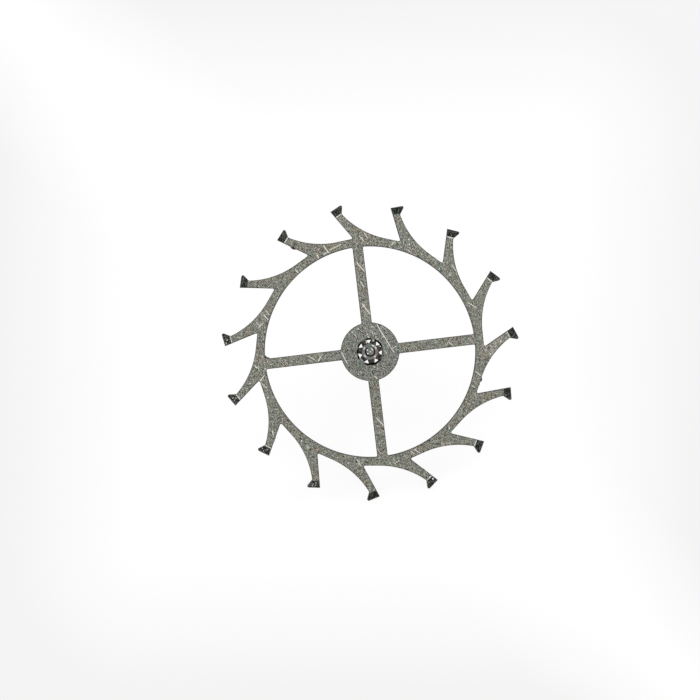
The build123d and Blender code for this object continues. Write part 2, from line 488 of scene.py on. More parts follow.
brightSpecks = [
    (408.7, 239.5), (409.4, 244.3), (449.7, 274.8), (301.6, 440.9),
    (500.7, 341.1), (490.3, 354.1), (267.9, 397.6), (443.0, 262.4),
    (256.1, 367.3), (318.6, 360.3), (449.3, 428.0),
]
faintSpecks = [
    (372.5, 332.5), (374.6, 333.5), (367.3, 334.1), (368.7, 337.1), (358.1, 328.9),
    (352.8, 332.1), (365.5, 328.1), (375.9, 337.1), (377.5, 364.7), (374.3, 366.9),
    (377.5, 368.7), (348.4, 463.1), (265.2, 368.7), (271.0, 364.4), (250.0, 383.4),
    (267.6, 361.3), (262.5, 356.5),
]
pinkStains = [
    ((497.0, 342.3), 0.09), ((331.0, 248.0), 0.12), ((267.5, 320.0), 0.06),
    ((420.0, 447.5), 0.07), ((386.4, 373.9), 0.05), ((266.7, 381.1), 0.05),
    ((254.3, 365.0), 0.04),
]
# lighter patches on the arm at the right, with their size in mm
palePatches = [((494.0, 343.0), 0.34), ((500.0, 336.0), 0.2)]
# dark spots on the face, several of them on the burrs
darkSpots = [
    ((481.9, 379.7), 0.045), ((293.0, 248.8), 0.06), ((479.9, 383.2), 0.02),
    ((265.8, 356.7), 0.03), ((266.9, 357.8), 0.024), ((267.4, 370.2), 0.022),
    ((254.0, 367.6), 0.018), ((449.6, 430.7), 0.016), ((288.8, 239.0), 0.02),
]


def makeWheelGrain():
    material = bpy.data.materials.new("wheelGrain")
    nodes = Nodes(material)
    plane = nodes.wheelPlane()
    width = grain["strokeWidth"]
    falling, rising, pits = (
        nodes.strokes(plane, *grain[kind], width) for kind in ("falling", "rising", "pits")
    )
    mixed = nodes.math("MULTIPLY_ADD", rising, grain["risingShare"], falling)
    mixed = nodes.math("MULTIPLY_ADD", pits, grain["pitShare"], mixed)
    cut = nodes.ramp(mixed, *grain["cutLevels"])
    detail = grain["patchDetail"]
    warm = nodes.clouds(plane, grain["warmScale"], grain["warmLevels"], detail)
    warm = nodes.most([warm, nodes.spots(plane, pinkStains)])
    light = nodes.mix(warm, grain["light"], grain["warm"])
    green = nodes.clouds(plane, grain["greenScale"], grain["greenLevels"], detail)
    light = nodes.mix(green, light, grain["green"])
    light = nodes.mix(nodes.spots(plane, palePatches), light, grain["pale"])
    colour = nodes.mix(cut, grain["dark"], light)
    faint = nodes.most([
        nodes.ramp(nodes.strokes(plane, *grain["sparkle"], width), *grain["sparkleLevels"]),
        nodes.ramp(nodes.strokes(plane, *grain["hair"], width), *grain["hairLevels"]),
        nodes.scratches(plane, faintScratches, grain["scratchWidth"]),
        nodes.specks(plane, faintSpecks, grain["speckSize"]),
    ])
    marks = nodes.most([
        nodes.math("MULTIPLY", faint, grain["faintShare"]),
        nodes.scratches(plane, deepScratches, grain["scratchWidth"]),
        nodes.specks(plane, brightSpecks, grain["speckSize"]),
    ])
    colour = nodes.mix(marks, colour, grain["bright"])
    hub = nodes.ramp(nodes.reachOf(plane), *grain["hubReach"])
    colour = nodes.mix(hub, colour, grain["hubTone"], blend="MULTIPLY")
    # painted shade, darker towards one side of the wheel
    shade = nodes.towards(plane, *grain["paintedShadeArc"])
    colour = nodes.mix(shade, colour, grain["shade"], blend="MULTIPLY")
    # dark spots, several on the burrs
    colour = nodes.mix(nodes.spots(plane, darkSpots), colour, grain["dark"])
    nodes.metal(colour, grain["roughness"], grain["metallic"], bump=cut, bumpHeight=grain["bump"])
    return material


# Plain steel, a little darker and lighter in soft patches
def makeSteel(name, look):
    material = bpy.data.materials.new(name)
    nodes = Nodes(material)
    cloud = nodes.clouds(nodes.wheelPlane(), look["scale"])
    darker, lighter = (
        tuple(channel * (1 + spread) for channel in look["colour"])
        for spread in (-look["spread"], look["spread"])
    )
    nodes.metal(nodes.mix(cloud, darker, lighter), look["roughness"])
    return material


# Bevelled heads: dark, with a mottle of lighter grains, and painted light that makes the mottle
# stronger on the heads towards 208°
head = {
    "dark": (0.014, 0.018, 0.015),
    "light": (0.175, 0.18, 0.16),
    # colour of the painted glints
    "paintedGlint": (0.95, 0.95, 0.92),
    "brown": (0.026, 0.020, 0.017),
    "roughness": 0.16,
    "mottleScale": 40,
    "mottleLevels": (0.50, 0.61),
    "mottleDetail": 1.0,
    "plainShare": 0.55,
    # painted light: more of the lighter mottle on the heads in this arc
    "paintedLightArc": (208, 30, 62),
}
# Painted highlights: glints on the heads, with their size in mm
paintedHeadGlints = [
    ((227.0, 340.2), 0.013), ((226.0, 343.2), 0.012), ((433.0, 479.0), 0.016),
    ((316.0, 483.0), 0.011), ((313.2, 484.2), 0.010), ((312.3, 486.0), 0.009),
    ((315.2, 485.3), 0.008), ((267.0, 450.0), 0.010), ((262.2, 448.2), 0.010),
    ((263.4, 451.0), 0.010), ((233.0, 398.0), 0.010), ((236.0, 398.0), 0.009),
    ((234.2, 400.4), 0.009), ((457.0, 237.2), 0.009), ((506.0, 395.0), 0.009),
    ((243.0, 279.0), 0.008),
]
brownStains = [
    ((374.9, 493.7), 0.045), ((317.3, 483.6), 0.03), ((508.2, 390.9), 0.05),
    ((448.7, 234.3), 0.032), ((341.6, 213.1), 0.018),
]


def makeHeadSteel():
    material = bpy.data.materials.new("headSteel")
    nodes = Nodes(material)
    plane = nodes.wheelPlane()
    mottle = nodes.clouds(plane, head["mottleScale"], head["mottleLevels"], head["mottleDetail"])
    # painted light on the heads of one side
    paintedLight = nodes.towards(plane, *head["paintedLightArc"])
    share = nodes.math("MULTIPLY_ADD", paintedLight, 1 - head["plainShare"], head["plainShare"])
    colour = nodes.mix(nodes.math("MULTIPLY", mottle, share), head["dark"], head["light"])
    colour = nodes.mix(nodes.spots(plane, brownStains), colour, head["brown"])
    # painted highlights: glints on the heads
    colour = nodes.mix(nodes.spots(plane, paintedHeadGlints), colour, head["paintedGlint"])
    nodes.metal(colour, head["roughness"])
    return material


# Slope round the hub's hole, with painted shadow: black in arcs round the hole
seat = {
    "paintedShadowed": (0.004, 0.004, 0.004),
    "unshaded": (0.26, 0.26, 0.245),
    "roughness": 0.5,
    "metallic": 0.2,
    "specular": 0.08,
    # colour of the painted highlights on the seat and the rivet ends
    "paintedHighlight": (0.92, 0.95, 0.86),
    # painted highlight: a light arc on the seat in this direction and band
    "paintedLightArc": (229, 13, 19),
    "paintedLightReach": (0.241, 0.235),
    "paintedShadowArcs": (
        (98, 8, 15), (46, 16, 26), (179, 5, 10), (285, 34, 46), (145, 6, 18), (209, 5, 12),
    ),
}
# Painted highlights: flecks on the rivet ends, with their size in mm
paintedRivetHighlights = [
    ((373.1, 340.4), 0.022), ((366.7, 342.5), 0.016), ((365.9, 341.2), 0.013),
    ((380.0, 346.3), 0.014),
]


def makeSeatSteel():
    material = bpy.data.materials.new("seatSteel")
    nodes = Nodes(material)
    plane = nodes.wheelPlane()
    # painted shadow in arcs round the hole
    paintedShadow = nodes.most(nodes.towards(plane, *arc) for arc in seat["paintedShadowArcs"])
    colour = nodes.mix(paintedShadow, seat["unshaded"], seat["paintedShadowed"])
    # painted highlights: a light arc on the seat and flecks on the rivet ends
    paintedLight = nodes.arcPatch(plane, seat["paintedLightArc"], seat["paintedLightReach"])
    light = nodes.most([paintedLight, nodes.spots(plane, paintedRivetHighlights)])
    colour = nodes.mix(light, colour, seat["paintedHighlight"])
    shader = nodes.metal(colour, seat["roughness"], seat["metallic"])
    shader.inputs["Specular IOR Level"].default_value = seat["specular"]
    return material


# Cut sides of the wheel, and the painted highlight on the line where a head's bevel begins
wall = {"colour": (0.068, 0.067, 0.060), "roughness": 0.38, "spread": 0.4, "scale": 60}
crest = {"colour": (0.70, 0.70, 0.64), "roughness": 0.3, "spread": 0.25, "scale": 30}

wheelGrain = makeWheelGrain()
headSteel = makeHeadSteel()
seatSteel = makeSeatSteel()
wheelWall = makeSteel("wheelWall", wall)
paintedCrestHighlight = makeSteel("paintedCrestHighlight", crest)
print("wheel finishes made")


# Flat wheel: hub, spokes, rim and teeth from one sheet
wheel = {
    "thickness": 0.16,
    "rimRadius": 1.98,
    "hubRadius": 0.55,
    "spokes": 4,
    "spokeWidth": 0.196,
    "spokeAngle": 6.8,
    "windowRounding": 0.024,
    "windowSteps": 8,
    "seatRadius": 0.222,
    "seatSlope": 0.034,
    "edgeBreak": 0.012,
    "slopeNormal": 0.5,  # least rise of the normal on a slope
    "sharpAngle": 10,
    "backSegments": 24,
    "rimSegments": 48,
    "hubSegments": 26,
    "seatSegments": 98,
    "burrStep": 0.01,
    # pixel, outward angle, half width and height
    "burrs": (
        ((481.4, 379.9), -16, 0.050, 0.026),
        ((479.0, 384.2), -25, 0.025, 0.010),
        ((292.8, 248.4), 238, 0.065, 0.028),
        ((275.2, 438.6), -20, 0.022, 0.009),
        ((274.2, 441.6), -20, 0.018, 0.008),
        ((424.0, 469.8), 55, 0.020, 0.009),
        ((427.8, 473.0), 55, 0.018, 0.007),
        ((265.6, 359.0), 45, 0.075, 0.042),
    ),
}


def drawTooth(bm):
    tip = penArc(bm, penStart(bm, backEnd), backCentre, notchCorner, wheel["backSegments"])
    for corner in (heelCorner, lockCorner, rootCorner, nextBackEnd):
        tip = penLine(bm, tip, corner)
    roundCorner(bm, notchCorner, teeth["notchRounding"], teeth["notchSteps"])
    roundCorner(bm, heelCorner, teeth["heelRounding"], teeth["heelSteps"])
    roundCorner(bm, rootCorner, teeth["rootRounding"], teeth["rootSteps"])


def drawWindow(bm):
    half = wheel["spokeWidth"] / 2
    quarter = 360 / wheel["spokes"]

    def corners(radius):
        first = Vector((sqrt(radius**2 - half**2), half, 0))
        return first, spinPoint(Vector((first.x, -half, 0)), quarter)

    hubFirst, hubLast = corners(wheel["hubRadius"])
    rimFirst, rimLast = corners(wheel["rimRadius"])
    tip = penLine(bm, penStart(bm, hubFirst), rimFirst)
    tip = penArc(bm, tip, Vector(), rimLast, wheel["rimSegments"])
    tip = penLine(bm, tip, hubLast)
    penArc(bm, tip, Vector(), hubFirst, wheel["hubSegments"])
    bmesh.ops.remove_doubles(bm, verts=bm.verts, dist=weld)
    for corner in (hubFirst, rimFirst, rimLast, hubLast):
        roundCorner(bm, corner, wheel["windowRounding"], wheel["windowSteps"])


# Draws one part of an outline, repeats it round the arbor and adds the ring to a piece
def addRing(bm, draw, count, startAngle):
    ring = bmesh.new()
    draw(ring)
    bmesh.ops.spin(
        ring, geom=ring.verts[:] + ring.edges[:], cent=(0, 0, 0), axis=zAxis,
        angle=2 * pi / count * (count - 1), steps=count - 1, use_duplicate=True,
    )
    turn = Matrix.Rotation(radians(startAngle), 3, "Z")
    bmesh.ops.rotate(ring, verts=ring.verts, cent=(0, 0, 0), matrix=turn)
    mesh = bpy.data.meshes.new("ring")
    ring.to_mesh(mesh)
    ring.free()
    bm.from_mesh(mesh)
    bpy.data.meshes.remove(mesh)


# Small burrs on the drawn outline, which is divided there and pushed outwards
def raiseBurrs(bm):
    for pixel, outwardAngle, width, height in wheel["burrs"]:
        place = Vector((*fromPixel(*pixel), 0))
        for edge in bm.edges[:]:
            first, last = (vert.co for vert in edge.verts)
            foot, along = intersect_point_line(place, first, last)
            foot = first.lerp(last, min(max(along, 0), 1))
            if (foot - place).length < width:
                cuts = ceil(edge.calc_length() / wheel["burrStep"])
                bmesh.ops.subdivide_edges(bm, edges=[edge], cuts=cuts)
        for vert in bm.verts:
            away = (vert.co - place).length / width
            if away < 1:
                vert.co += turned(height, outwardAngle) * (1 - away**2)


# How far a point of one head lies past the line where its bevel begins
def pastHeadLine(point, number):
    local = spinPoint(Vector((point.x, point.y, 0)), -teeth["angle"] - pitch * number)
    nearHead = (local - headMiddle).length < teeth["liftLength"]
    return (local - headStart).dot(liftNormal) if nearHead else -1


def headDrop(distance):
    crest = min(distance, teeth["crestWidth"])
    rest = distance - crest
    return crest * tan(radians(teeth["headSlope"] / 2)) + rest * tan(radians(teeth["headSlope"]))


def bevelHeads(bm):
    middleHeight = wheel["thickness"] / 2
    for number in range(teeth["count"]):
        turn = teeth["angle"] + pitch * number
        outward = spinPoint(liftNormal, turn)
        middle = spinPoint(headMiddle, turn)
        for distance in (0, teeth["crestWidth"]):
            faces = {
                face for vert in bm.verts
                if (Vector((vert.co.x, vert.co.y, 0)) - middle).length < teeth["liftLength"]
                for face in vert.link_faces
            }
            parts = list(faces)
            parts += list({edge for face in faces for edge in face.edges})
            parts += list({vert for face in faces for vert in face.verts})
            bmesh.ops.bisect_plane(
                bm, geom=parts, dist=weld,
                plane_co=spinPoint(headStart, turn) + outward * distance, plane_no=outward,
            )
        for vert in bm.verts:
            distance = pastHeadLine(vert.co, number)
            if distance > weld and vert.co.z > middleHeight:
                vert.co.z -= headDrop(distance)


# The broken edge round the hub's hole becomes the slope of the seat
def slopeSeat(bm, rise):
    for vert in bm.verts:
        away = reach(vert.co)
        if away < wheel["hubRadius"] / 2 and vert.co.z > rise - weld:
            if vert.co.z > wheel["thickness"] - weld:
                vert.co = growPoint(vert.co, (wheel["seatRadius"] + wheel["seatSlope"]) / away)
            else:
                vert.co.z = wheel["thickness"] - wheel["seatSlope"]


# The finish of one face, by its slope and its place
def wheelFinish(face):
    level = face.normal.z
    centre = face.calc_center_median()
    if abs(level) > flatNormal:
        return wheelGrain
    if level < wheel["slopeNormal"]:
        return wheelWall
    if reach(centre) < wheel["hubRadius"] / 2:
        return seatSteel
    for number in range(teeth["count"]):
        distance = pastHeadLine(centre, number)
        if distance > teeth["crestWidth"] and level > teeth["headNormal"]:
            return headSteel
        if distance > 0 and level > teeth["crestNormal"]:
            # painted highlight on the bevel line of some heads
            return paintedCrestHighlight if number in teeth["highlightedCrests"] else wheelGrain
    return wheelWall


def buildWheel():
    bm = bmesh.new()
    addRing(bm, drawTooth, teeth["count"], teeth["angle"])
    addRing(bm, drawWindow, wheel["spokes"], wheel["spokeAngle"])
    bmesh.ops.remove_doubles(bm, verts=bm.verts, dist=weld)
    raiseBurrs(bm)
    bmesh.ops.create_circle(
        bm, cap_ends=False, segments=wheel["seatSegments"], radius=wheel["seatRadius"]
    )
    rise = wheel["thickness"] - wheel["edgeBreak"]
    raisePlate(bm, wheel["edgeBreak"], rise)
    for side, height in ((1, rise), (-1, wheel["edgeBreak"])):
        bmesh.ops.inset_region(
            bm, faces=facesFacing(bm, side, height), use_boundary=True, use_even_offset=True,
            thickness=wheel["edgeBreak"], depth=wheel["edgeBreak"],
        )
    slopeSeat(bm, rise)
    bevelHeads(bm)
    bmesh.ops.remove_doubles(bm, verts=bm.verts, dist=weld)
    bmesh.ops.recalc_face_normals(bm, faces=bm.faces)
    finishes = (wheelGrain, wheelWall, headSteel, paintedCrestHighlight, seatSteel)
    piece = finishPiece(bm, "escapeWheel", finishes, wheelFinish, wheel["sharpAngle"])
    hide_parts("escape_wheel")


# Pinion of seven leaves with its arbor and pivots, riveted into the wheel
pinion = {
    "leaves": 7,
    "gapAngle": 98,
    "length": 0.78,
    "tipRadius": 0.36,
    "tipSteps": 7,
    "rootRadius": 0.158,
    "rootSteps": 5,
    "flankAngle": 17.2,
    "roundingHeight": 0.064,
    "rootRounding": 0.018,
    "rootRoundingSteps": 4,
    "endSlope": 0.02,
    "rivetHeight": 0.02,
    "rivetSteps": 10,
    "rivetGapWidth": 0.09,
    "rivetGapRounding": 0.008,
    "rivetGapSteps": 5,
    "rivetSlope": 0.016,
    "upperRadius": 0.14,
    "upperHeight": 0.075,
    "upperSlopeWidth": 0.026,
    "upperSlopeDrop": 0.016,
    "upperPivot": 0.15,
    "upperConeRadius": 0.070,
    "upperConeHeight": 0.019,
    "grooveRadius": 0.094,
    "grooveDepth": 0.03,
    "lipRounding": 0.004,
    "lowerRadius": 0.13,
    "lowerLength": 0.5,
    "lowerSlope": 0.01,
    "lowerPivot": 0.16,
    "lowerConeRadius": 0.076,
    "shoulderRadius": 0.096,
    "edgeSteps": 3,
    "pivotRadius": 0.045,
    "coneHeight": 0.05,
    "coneSteps": 8,
    "endRounding": 0.016,
    "endSteps": 8,
    "roundSegments": 98,
    "sharpAngle": 25,
    "slack": 0.002,  # room for error where faces are told apart
}
leafPitch = 360 / pinion["leaves"]
rivetTop = wheel["thickness"] + pinion["rivetHeight"]
upperTop = rivetTop + pinion["upperHeight"]
grooveFloor = upperTop - pinion["grooveDepth"]

# Finishes of the pinion: polished below, burnished and dark where it is riveted, with painted
# shade in the groove round the upper pivot
flank = {"colour": (0.27, 0.27, 0.262), "roughness": 0.22, "spread": 0.1, "scale": 18}
arborEnd = {
    "colour": (0.19, 0.197, 0.186),
    "blush": (0.235, 0.21, 0.208),
    "blushArc": (335, 20, 80),
    # painted highlight on the pivot's end, and its size
    "tip": (0.7, 0.72, 0.66),
    "tipHighlightSize": 0.018,
    "roughness": 0.2,
    "mottle": (0.72, 0.72, 0.72),
    "mottleScale": 30,
}
rivetEnd = {
    "dark": (0.008, 0.007, 0.007),
    "light": (0.105, 0.094, 0.096),
    "olive": (0.088, 0.090, 0.070),
    "oliveScale": 5,
    "oliveLevels": (0.45, 0.6),
    # painted highlight on the rim of the rivet ends, in an arc towards 218°
    "edge": (0.3, 0.3, 0.28),
    "rimHighlightArc": (218, 14, 22),
    "rimHighlightReach": (0.208, 0.214),
    "roughness": 0.3,
    "mottleScale": 28,
}
# Groove round the upper pivot: painted shade, near black, with painted light on the side towards
# 88°
groove = {
    "dark": (0.006, 0.006, 0.006),
    "open": (0.25, 0.27, 0.25),
    "paintedLitArc": (88, 22, 48),
    "roughness": 0.4,
}


def makeArborEnd():
    material = bpy.data.materials.new("arborEnd")
    nodes = Nodes(material)
    plane = nodes.wheelPlane()
    blush = nodes.towards(plane, *arborEnd["blushArc"])
    colour = nodes.mix(blush, arborEnd["colour"], arborEnd["blush"])
    mottle = nodes.clouds(plane, arborEnd["mottleScale"])
    colour = nodes.mix(mottle, colour, arborEnd["mottle"], blend="MULTIPLY")
    # painted highlight on the pivot's end
    tip = nodes.disc(nodes.reachOf(plane), arborEnd["tipHighlightSize"])
    nodes.metal(nodes.mix(tip, colour, arborEnd["tip"]), arborEnd["roughness"])
    return material


def makeRivetEnd():
    material = bpy.data.materials.new("rivetEnd")
    nodes = Nodes(material)
    plane = nodes.wheelPlane()
    mottle = nodes.clouds(plane, rivetEnd["mottleScale"])
    olive = nodes.clouds(plane, rivetEnd["oliveScale"], rivetEnd["oliveLevels"])
    tone = nodes.mix(olive, rivetEnd["light"], rivetEnd["olive"])
    colour = nodes.mix(mottle, rivetEnd["dark"], tone)
    # painted highlight on the rim of the rivet ends
    edge = nodes.arcPatch(plane, rivetEnd["rimHighlightArc"], rivetEnd["rimHighlightReach"])
    colour = nodes.mix(edge, colour, rivetEnd["edge"])
    # painted highlights on the rivet ends
    colour = nodes.mix(nodes.spots(plane, paintedRivetHighlights), colour, seat["paintedHighlight"])
    nodes.metal(colour, rivetEnd["roughness"])
    return material


def makeGrooveShade():
    material = bpy.data.materials.new("grooveShade")
    nodes = Nodes(material)
    # painted light on one side of the groove's painted shade
    lit = nodes.towards(nodes.wheelPlane(), *groove["paintedLitArc"])
    nodes.metal(nodes.mix(lit, groove["dark"], groove["open"]), groove["roughness"])
    return material


pinionSteel = makeSteel("pinionSteel", flank)
arborEndSteel = makeArborEnd()
rivetEndSteel = makeRivetEnd()
grooveShade = makeGrooveShade()
print("pinion finishes made")


# Centre of the arc that leaves the pivot without a corner and ends at the shoulder
def trumpetCentre(pivotPoint, shoulderPoint):
    run = shoulderPoint.x - pivotPoint.x
    rise = shoulderPoint.z - pivotPoint.z
    return pivotPoint + Vector(((run**2 + rise**2) / (2 * run), 0, 0))


# A point of the arbor's half section
def at(radius, height):
    return Vector((radius, 0, height))


def buildArbor():
    upperTip = upperTop + pinion["coneHeight"] + pinion["upperPivot"]
    lowerEnd = -pinion["length"] - pinion["lowerLength"]
    lowerTip = lowerEnd - pinion["coneHeight"] - pinion["lowerPivot"]
    lowerPivotTop = at(pinion["pivotRadius"], lowerEnd - pinion["coneHeight"])
    lowerShoulder = at(pinion["lowerConeRadius"], lowerEnd)
    lowerCentre = trumpetCentre(lowerPivotTop, lowerShoulder)
    bm = bmesh.new()
    tip = penStart(bm, at(0, lowerTip))
    tip = penLine(bm, tip, at(pinion["pivotRadius"], lowerTip))
    tip = penLine(bm, tip, lowerPivotTop)
    tip = penArc(bm, tip, lowerCentre, lowerShoulder, pinion["coneSteps"], yAxis)
    for radius, height in (
        (pinion["shoulderRadius"], lowerEnd),
        (pinion["lowerRadius"], -pinion["length"]),
        (pinion["upperRadius"], 0),
        (pinion["upperRadius"], upperTop - pinion["upperSlopeDrop"]),
        (pinion["upperRadius"] - pinion["upperSlopeWidth"], upperTop),
        (pinion["grooveRadius"], upperTop),
        (pinion["grooveRadius"], grooveFloor),
        (pinion["upperConeRadius"], grooveFloor),
        (pinion["upperConeRadius"], upperTop),
        (pinion["pivotRadius"], upperTop + pinion["upperConeHeight"]),
        (pinion["pivotRadius"], upperTip),
        (0, upperTip),
    ):
        tip = penLine(bm, tip, at(radius, height))
    for radius, height, rounding, steps in (
        (pinion["pivotRadius"], lowerTip, pinion["endRounding"], pinion["endSteps"]),
        (pinion["pivotRadius"], upperTip, pinion["endRounding"], pinion["endSteps"]),
        (pinion["shoulderRadius"], lowerEnd, pinion["lowerSlope"], pinion["edgeSteps"]),
        (pinion["grooveRadius"], upperTop, pinion["lipRounding"], pinion["edgeSteps"]),
    ):
        roundCorner(bm, at(radius, height), rounding, steps, yAxis)
    bmesh.ops.spin(
        bm, geom=bm.verts[:] + bm.edges[:], cent=(0, 0, 0), axis=zAxis,
        angle=2 * pi, steps=pinion["roundSegments"], use_merge=True,
    )
    bmesh.ops.remove_doubles(bm, verts=bm.verts, dist=weld)
    bmesh.ops.recalc_face_normals(bm, faces=bm.faces)
    return bm


def drawLeaf(bm):
    half = pinion["flankAngle"] / 2
    gap = leafPitch / 2
    root, outer = pinion["rootRadius"], pinion["tipRadius"]
    flankTop = outer - pinion["roundingHeight"]
    rise = outer - flankTop * cos(radians(half))
    halfWidth = flankTop * sin(radians(half))
    tipCentre = Vector((outer - (rise**2 + halfWidth**2) / (2 * rise), 0, 0))
    tip = penStart(bm, turned(root, -gap))
    tip = penArc(bm, tip, Vector(), turned(root, -half), pinion["rootSteps"])
    tip = penLine(bm, tip, turned(flankTop, -half))
    tip = penArc(bm, tip, tipCentre, Vector((outer, 0, 0)), pinion["tipSteps"])
    tip = penArc(bm, tip, tipCentre, turned(flankTop, half), pinion["tipSteps"])
    tip = penLine(bm, tip, turned(root, half))
    penArc(bm, tip, Vector(), turned(root, gap), pinion["rootSteps"])
    for side in (-half, half):
        roundCorner(bm, turned(root, side), pinion["rootRounding"], pinion["rootRoundingSteps"])


# One riveted leaf end, between the middles of two gaps
def drawRivet(bm):
    halfGap = pinion["rivetGapWidth"] / 2
    apex = Vector((pinion["rootRadius"], 0, 0))
    side = Vector((sqrt(wheel["seatRadius"] ** 2 - halfGap**2), halfGap, 0))
    first = spinPoint(side, -leafPitch / 2)
    last = spinPoint(Vector((side.x, -side.y, 0)), leafPitch / 2)
    tip = penLine(bm, penStart(bm, spinPoint(apex, -leafPitch / 2)), first)
    tip = penArc(bm, tip, Vector(), last, pinion["rivetSteps"])
    penLine(bm, tip, spinPoint(apex, leafPitch / 2))


# Draws the end faces out by the height of their slope and returns the points to pull in
def drawOutEnds(bm, side, height, slope):
    ends = facesFacing(bm, side, height)
    made = bmesh.ops.extrude_face_region(bm, geom=ends)
    moved = [item for item in made["geom"] if isinstance(item, bmesh.types.BMVert)]
    bmesh.ops.delete(bm, geom=[face for face in ends if face.is_valid], context="FACES_ONLY")
    bmesh.ops.translate(bm, verts=moved, vec=(0, 0, side * slope))
    return moved


def buildLeaves():
    bm = bmesh.new()
    addRing(bm, drawLeaf, pinion["leaves"], pinion["gapAngle"] + leafPitch / 2)
    low = -pinion["length"] + pinion["endSlope"]
    raisePlate(bm, low, 0)
    limit = pinion["tipRadius"] - pinion["endSlope"]
    for vert in drawOutEnds(bm, -1, low, pinion["endSlope"]):
        if reach(vert.co) > limit:
            vert.co = growPoint(vert.co, limit / reach(vert.co))
    bmesh.ops.recalc_face_normals(bm, faces=bm.faces)
    return bm


def buildRivets():
    bm = bmesh.new()
    addRing(bm, drawRivet, pinion["leaves"], pinion["gapAngle"] + leafPitch / 2)
    bmesh.ops.remove_doubles(bm, verts=bm.verts, dist=weld)
    for number in range(pinion["leaves"]):
        apex = turned(pinion["rootRadius"], pinion["gapAngle"] + number * leafPitch)
        roundCorner(bm, apex, pinion["rivetGapRounding"], pinion["rivetGapSteps"])
    slope = pinion["rivetSlope"]
    raisePlate(bm, 0, rivetTop - slope)
    shrink = (wheel["seatRadius"] - slope) / wheel["seatRadius"]
    for vert in drawOutEnds(bm, 1, rivetTop - slope, slope):
        if reach(vert.co) > wheel["seatRadius"] - weld:
            vert.co = growPoint(vert.co, shrink)
    bmesh.ops.recalc_face_normals(bm, faces=bm.faces)
    return bm


def looseObject(bm, name):
    mesh = bpy.data.meshes.new(name)
    bm.to_mesh(mesh)
    bm.free()
    item = bpy.data.objects.new(name, mesh)
    bpy.context.scene.collection.objects.link(item)
    return item


# Joins solids that run into each other into one closed skin
def joinSolids(base, others):
    for other in others:
        modifier = base.modifiers.new("join", "BOOLEAN")
        modifier.operation = "UNION"
        modifier.solver = "EXACT"
        modifier.object = other
    depsgraph = bpy.context.evaluated_depsgraph_get()
    joined = bpy.data.meshes.new_from_object(base.evaluated_get(depsgraph))
    bm = bmesh.new()
    bm.from_mesh(joined)
    bpy.data.meshes.remove(joined)
    for item in (base, *others):
        mesh = item.data
        bpy.data.objects.remove(item)
        bpy.data.meshes.remove(mesh)
    return bm


# The finish of one face, by its place
def pinionFinish(face):
    centre = face.calc_center_median()
    out = reach(centre)
    slack = pinion["slack"]
    inGroove = grooveFloor - slack < centre.z < upperTop - slack
    if centre.z > 0 and out > pinion["upperRadius"] + slack:
        return rivetEndSteel
    if inGroove and out < pinion["grooveRadius"] + slack:
        return grooveShade
    if centre.z > wheel["thickness"]:
        return arborEndSteel
    return pinionSteel


def buildPinion():
    arbor = looseObject(buildArbor(), "arbor")
    leaves = looseObject(buildLeaves(), "leaves")
    rivets = looseObject(buildRivets(), "rivets")
    bm = joinSolids(arbor, (leaves, rivets))
    bmesh.ops.remove_doubles(bm, verts=bm.verts, dist=weld)
    finishes = (pinionSteel, rivetEndSteel, grooveShade, arborEndSteel)
    piece = finishPiece(bm, "escapePinion", finishes, pinionFinish, pinion["sharpAngle"])
    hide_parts("escape_pinion")


buildWheel()
print("wheel built")
buildPinion()
print("pinion built")


# Table, light and camera: lengths in metres, lens and sensor in mm
studio = {
    "lens": 100,
    "sensor": 36,
    "imagePixels": 700,
    "clip": (0.001, 2),
    "floorSize": 0.6,
    "floorMatt": 0.8,  # as the object sees it
    "floorGlow": 0.895,
    "floorDiffuse": 0.12,
    "floorFade": 0.117,
    "fadeStart": 200,  # px from the middle of the picture
    "fadeRun": 150,
    "diagonalEnd": 200,
    "worldLevel": 0.78,
    "tableEdge": 0.86,  # the room is seen as bright as the table's far side
    # angle, tilt, distance and radiance
    "boxes": (
        (62, 70, 0.03, 6.0), (34, 70, 0.03, 4.5), (150, 70, 0.03, 5.0), (222, 70, 0.03, 6.5),
        (315, 70, 0.016, 5.0),
    ),
    "boxSpan": 0.3,  # of its distance
    "nearBox": 0.02,  # a box nearer than this would leave a bright patch on the table
}


def grey(level):
    return (level, level, level, 1)


# The table's glow falls off outside the middle of the picture, but not along one diagonal
def tableGlow(nodes, cameraPlace):
    right, up, back = (cameraPlace.col[axis].xyz for axis in range(3))
    focal = studio["lens"] / studio["sensor"] * studio["imagePixels"]
    place = nodes.add("ShaderNodeTexCoord").outputs["Object"]
    local = nodes.vector("SUBTRACT", place, cameraPlace.translation)
    depth = nodes.vector("DOT_PRODUCT", local, -back)
    depth = nodes.math("MAXIMUM", depth, studio["clip"][0])
    ways = [
        nodes.math("DIVIDE", nodes.vector("DOT_PRODUCT", local, way * focal), depth)
        for way in (right, up)
    ]
    beyond = []
    for way in ways:
        past = nodes.math("SUBTRACT", nodes.math("ABSOLUTE", way), studio["fadeStart"])
        beyond.append(nodes.math("MAXIMUM", past, 0))
    square = nodes.math("MULTIPLY", beyond[0], beyond[0])
    away = nodes.math("SQRT", nodes.math("MULTIPLY_ADD", beyond[1], beyond[1], square))
    aside = nodes.math("ABSOLUTE", nodes.math("ADD", *ways))
    run, diagonalEnd = studio["fadeRun"], studio["diagonalEnd"]
    offDiagonal = nodes.most([
        nodes.ramp(aside, 0, run), nodes.ramp(away, diagonalEnd, diagonalEnd + run),
    ])
    fade = nodes.math("MULTIPLY", nodes.ramp(away, 0, run), offDiagonal)
    return nodes.math("MULTIPLY_ADD", fade, -studio["floorFade"], studio["floorGlow"])


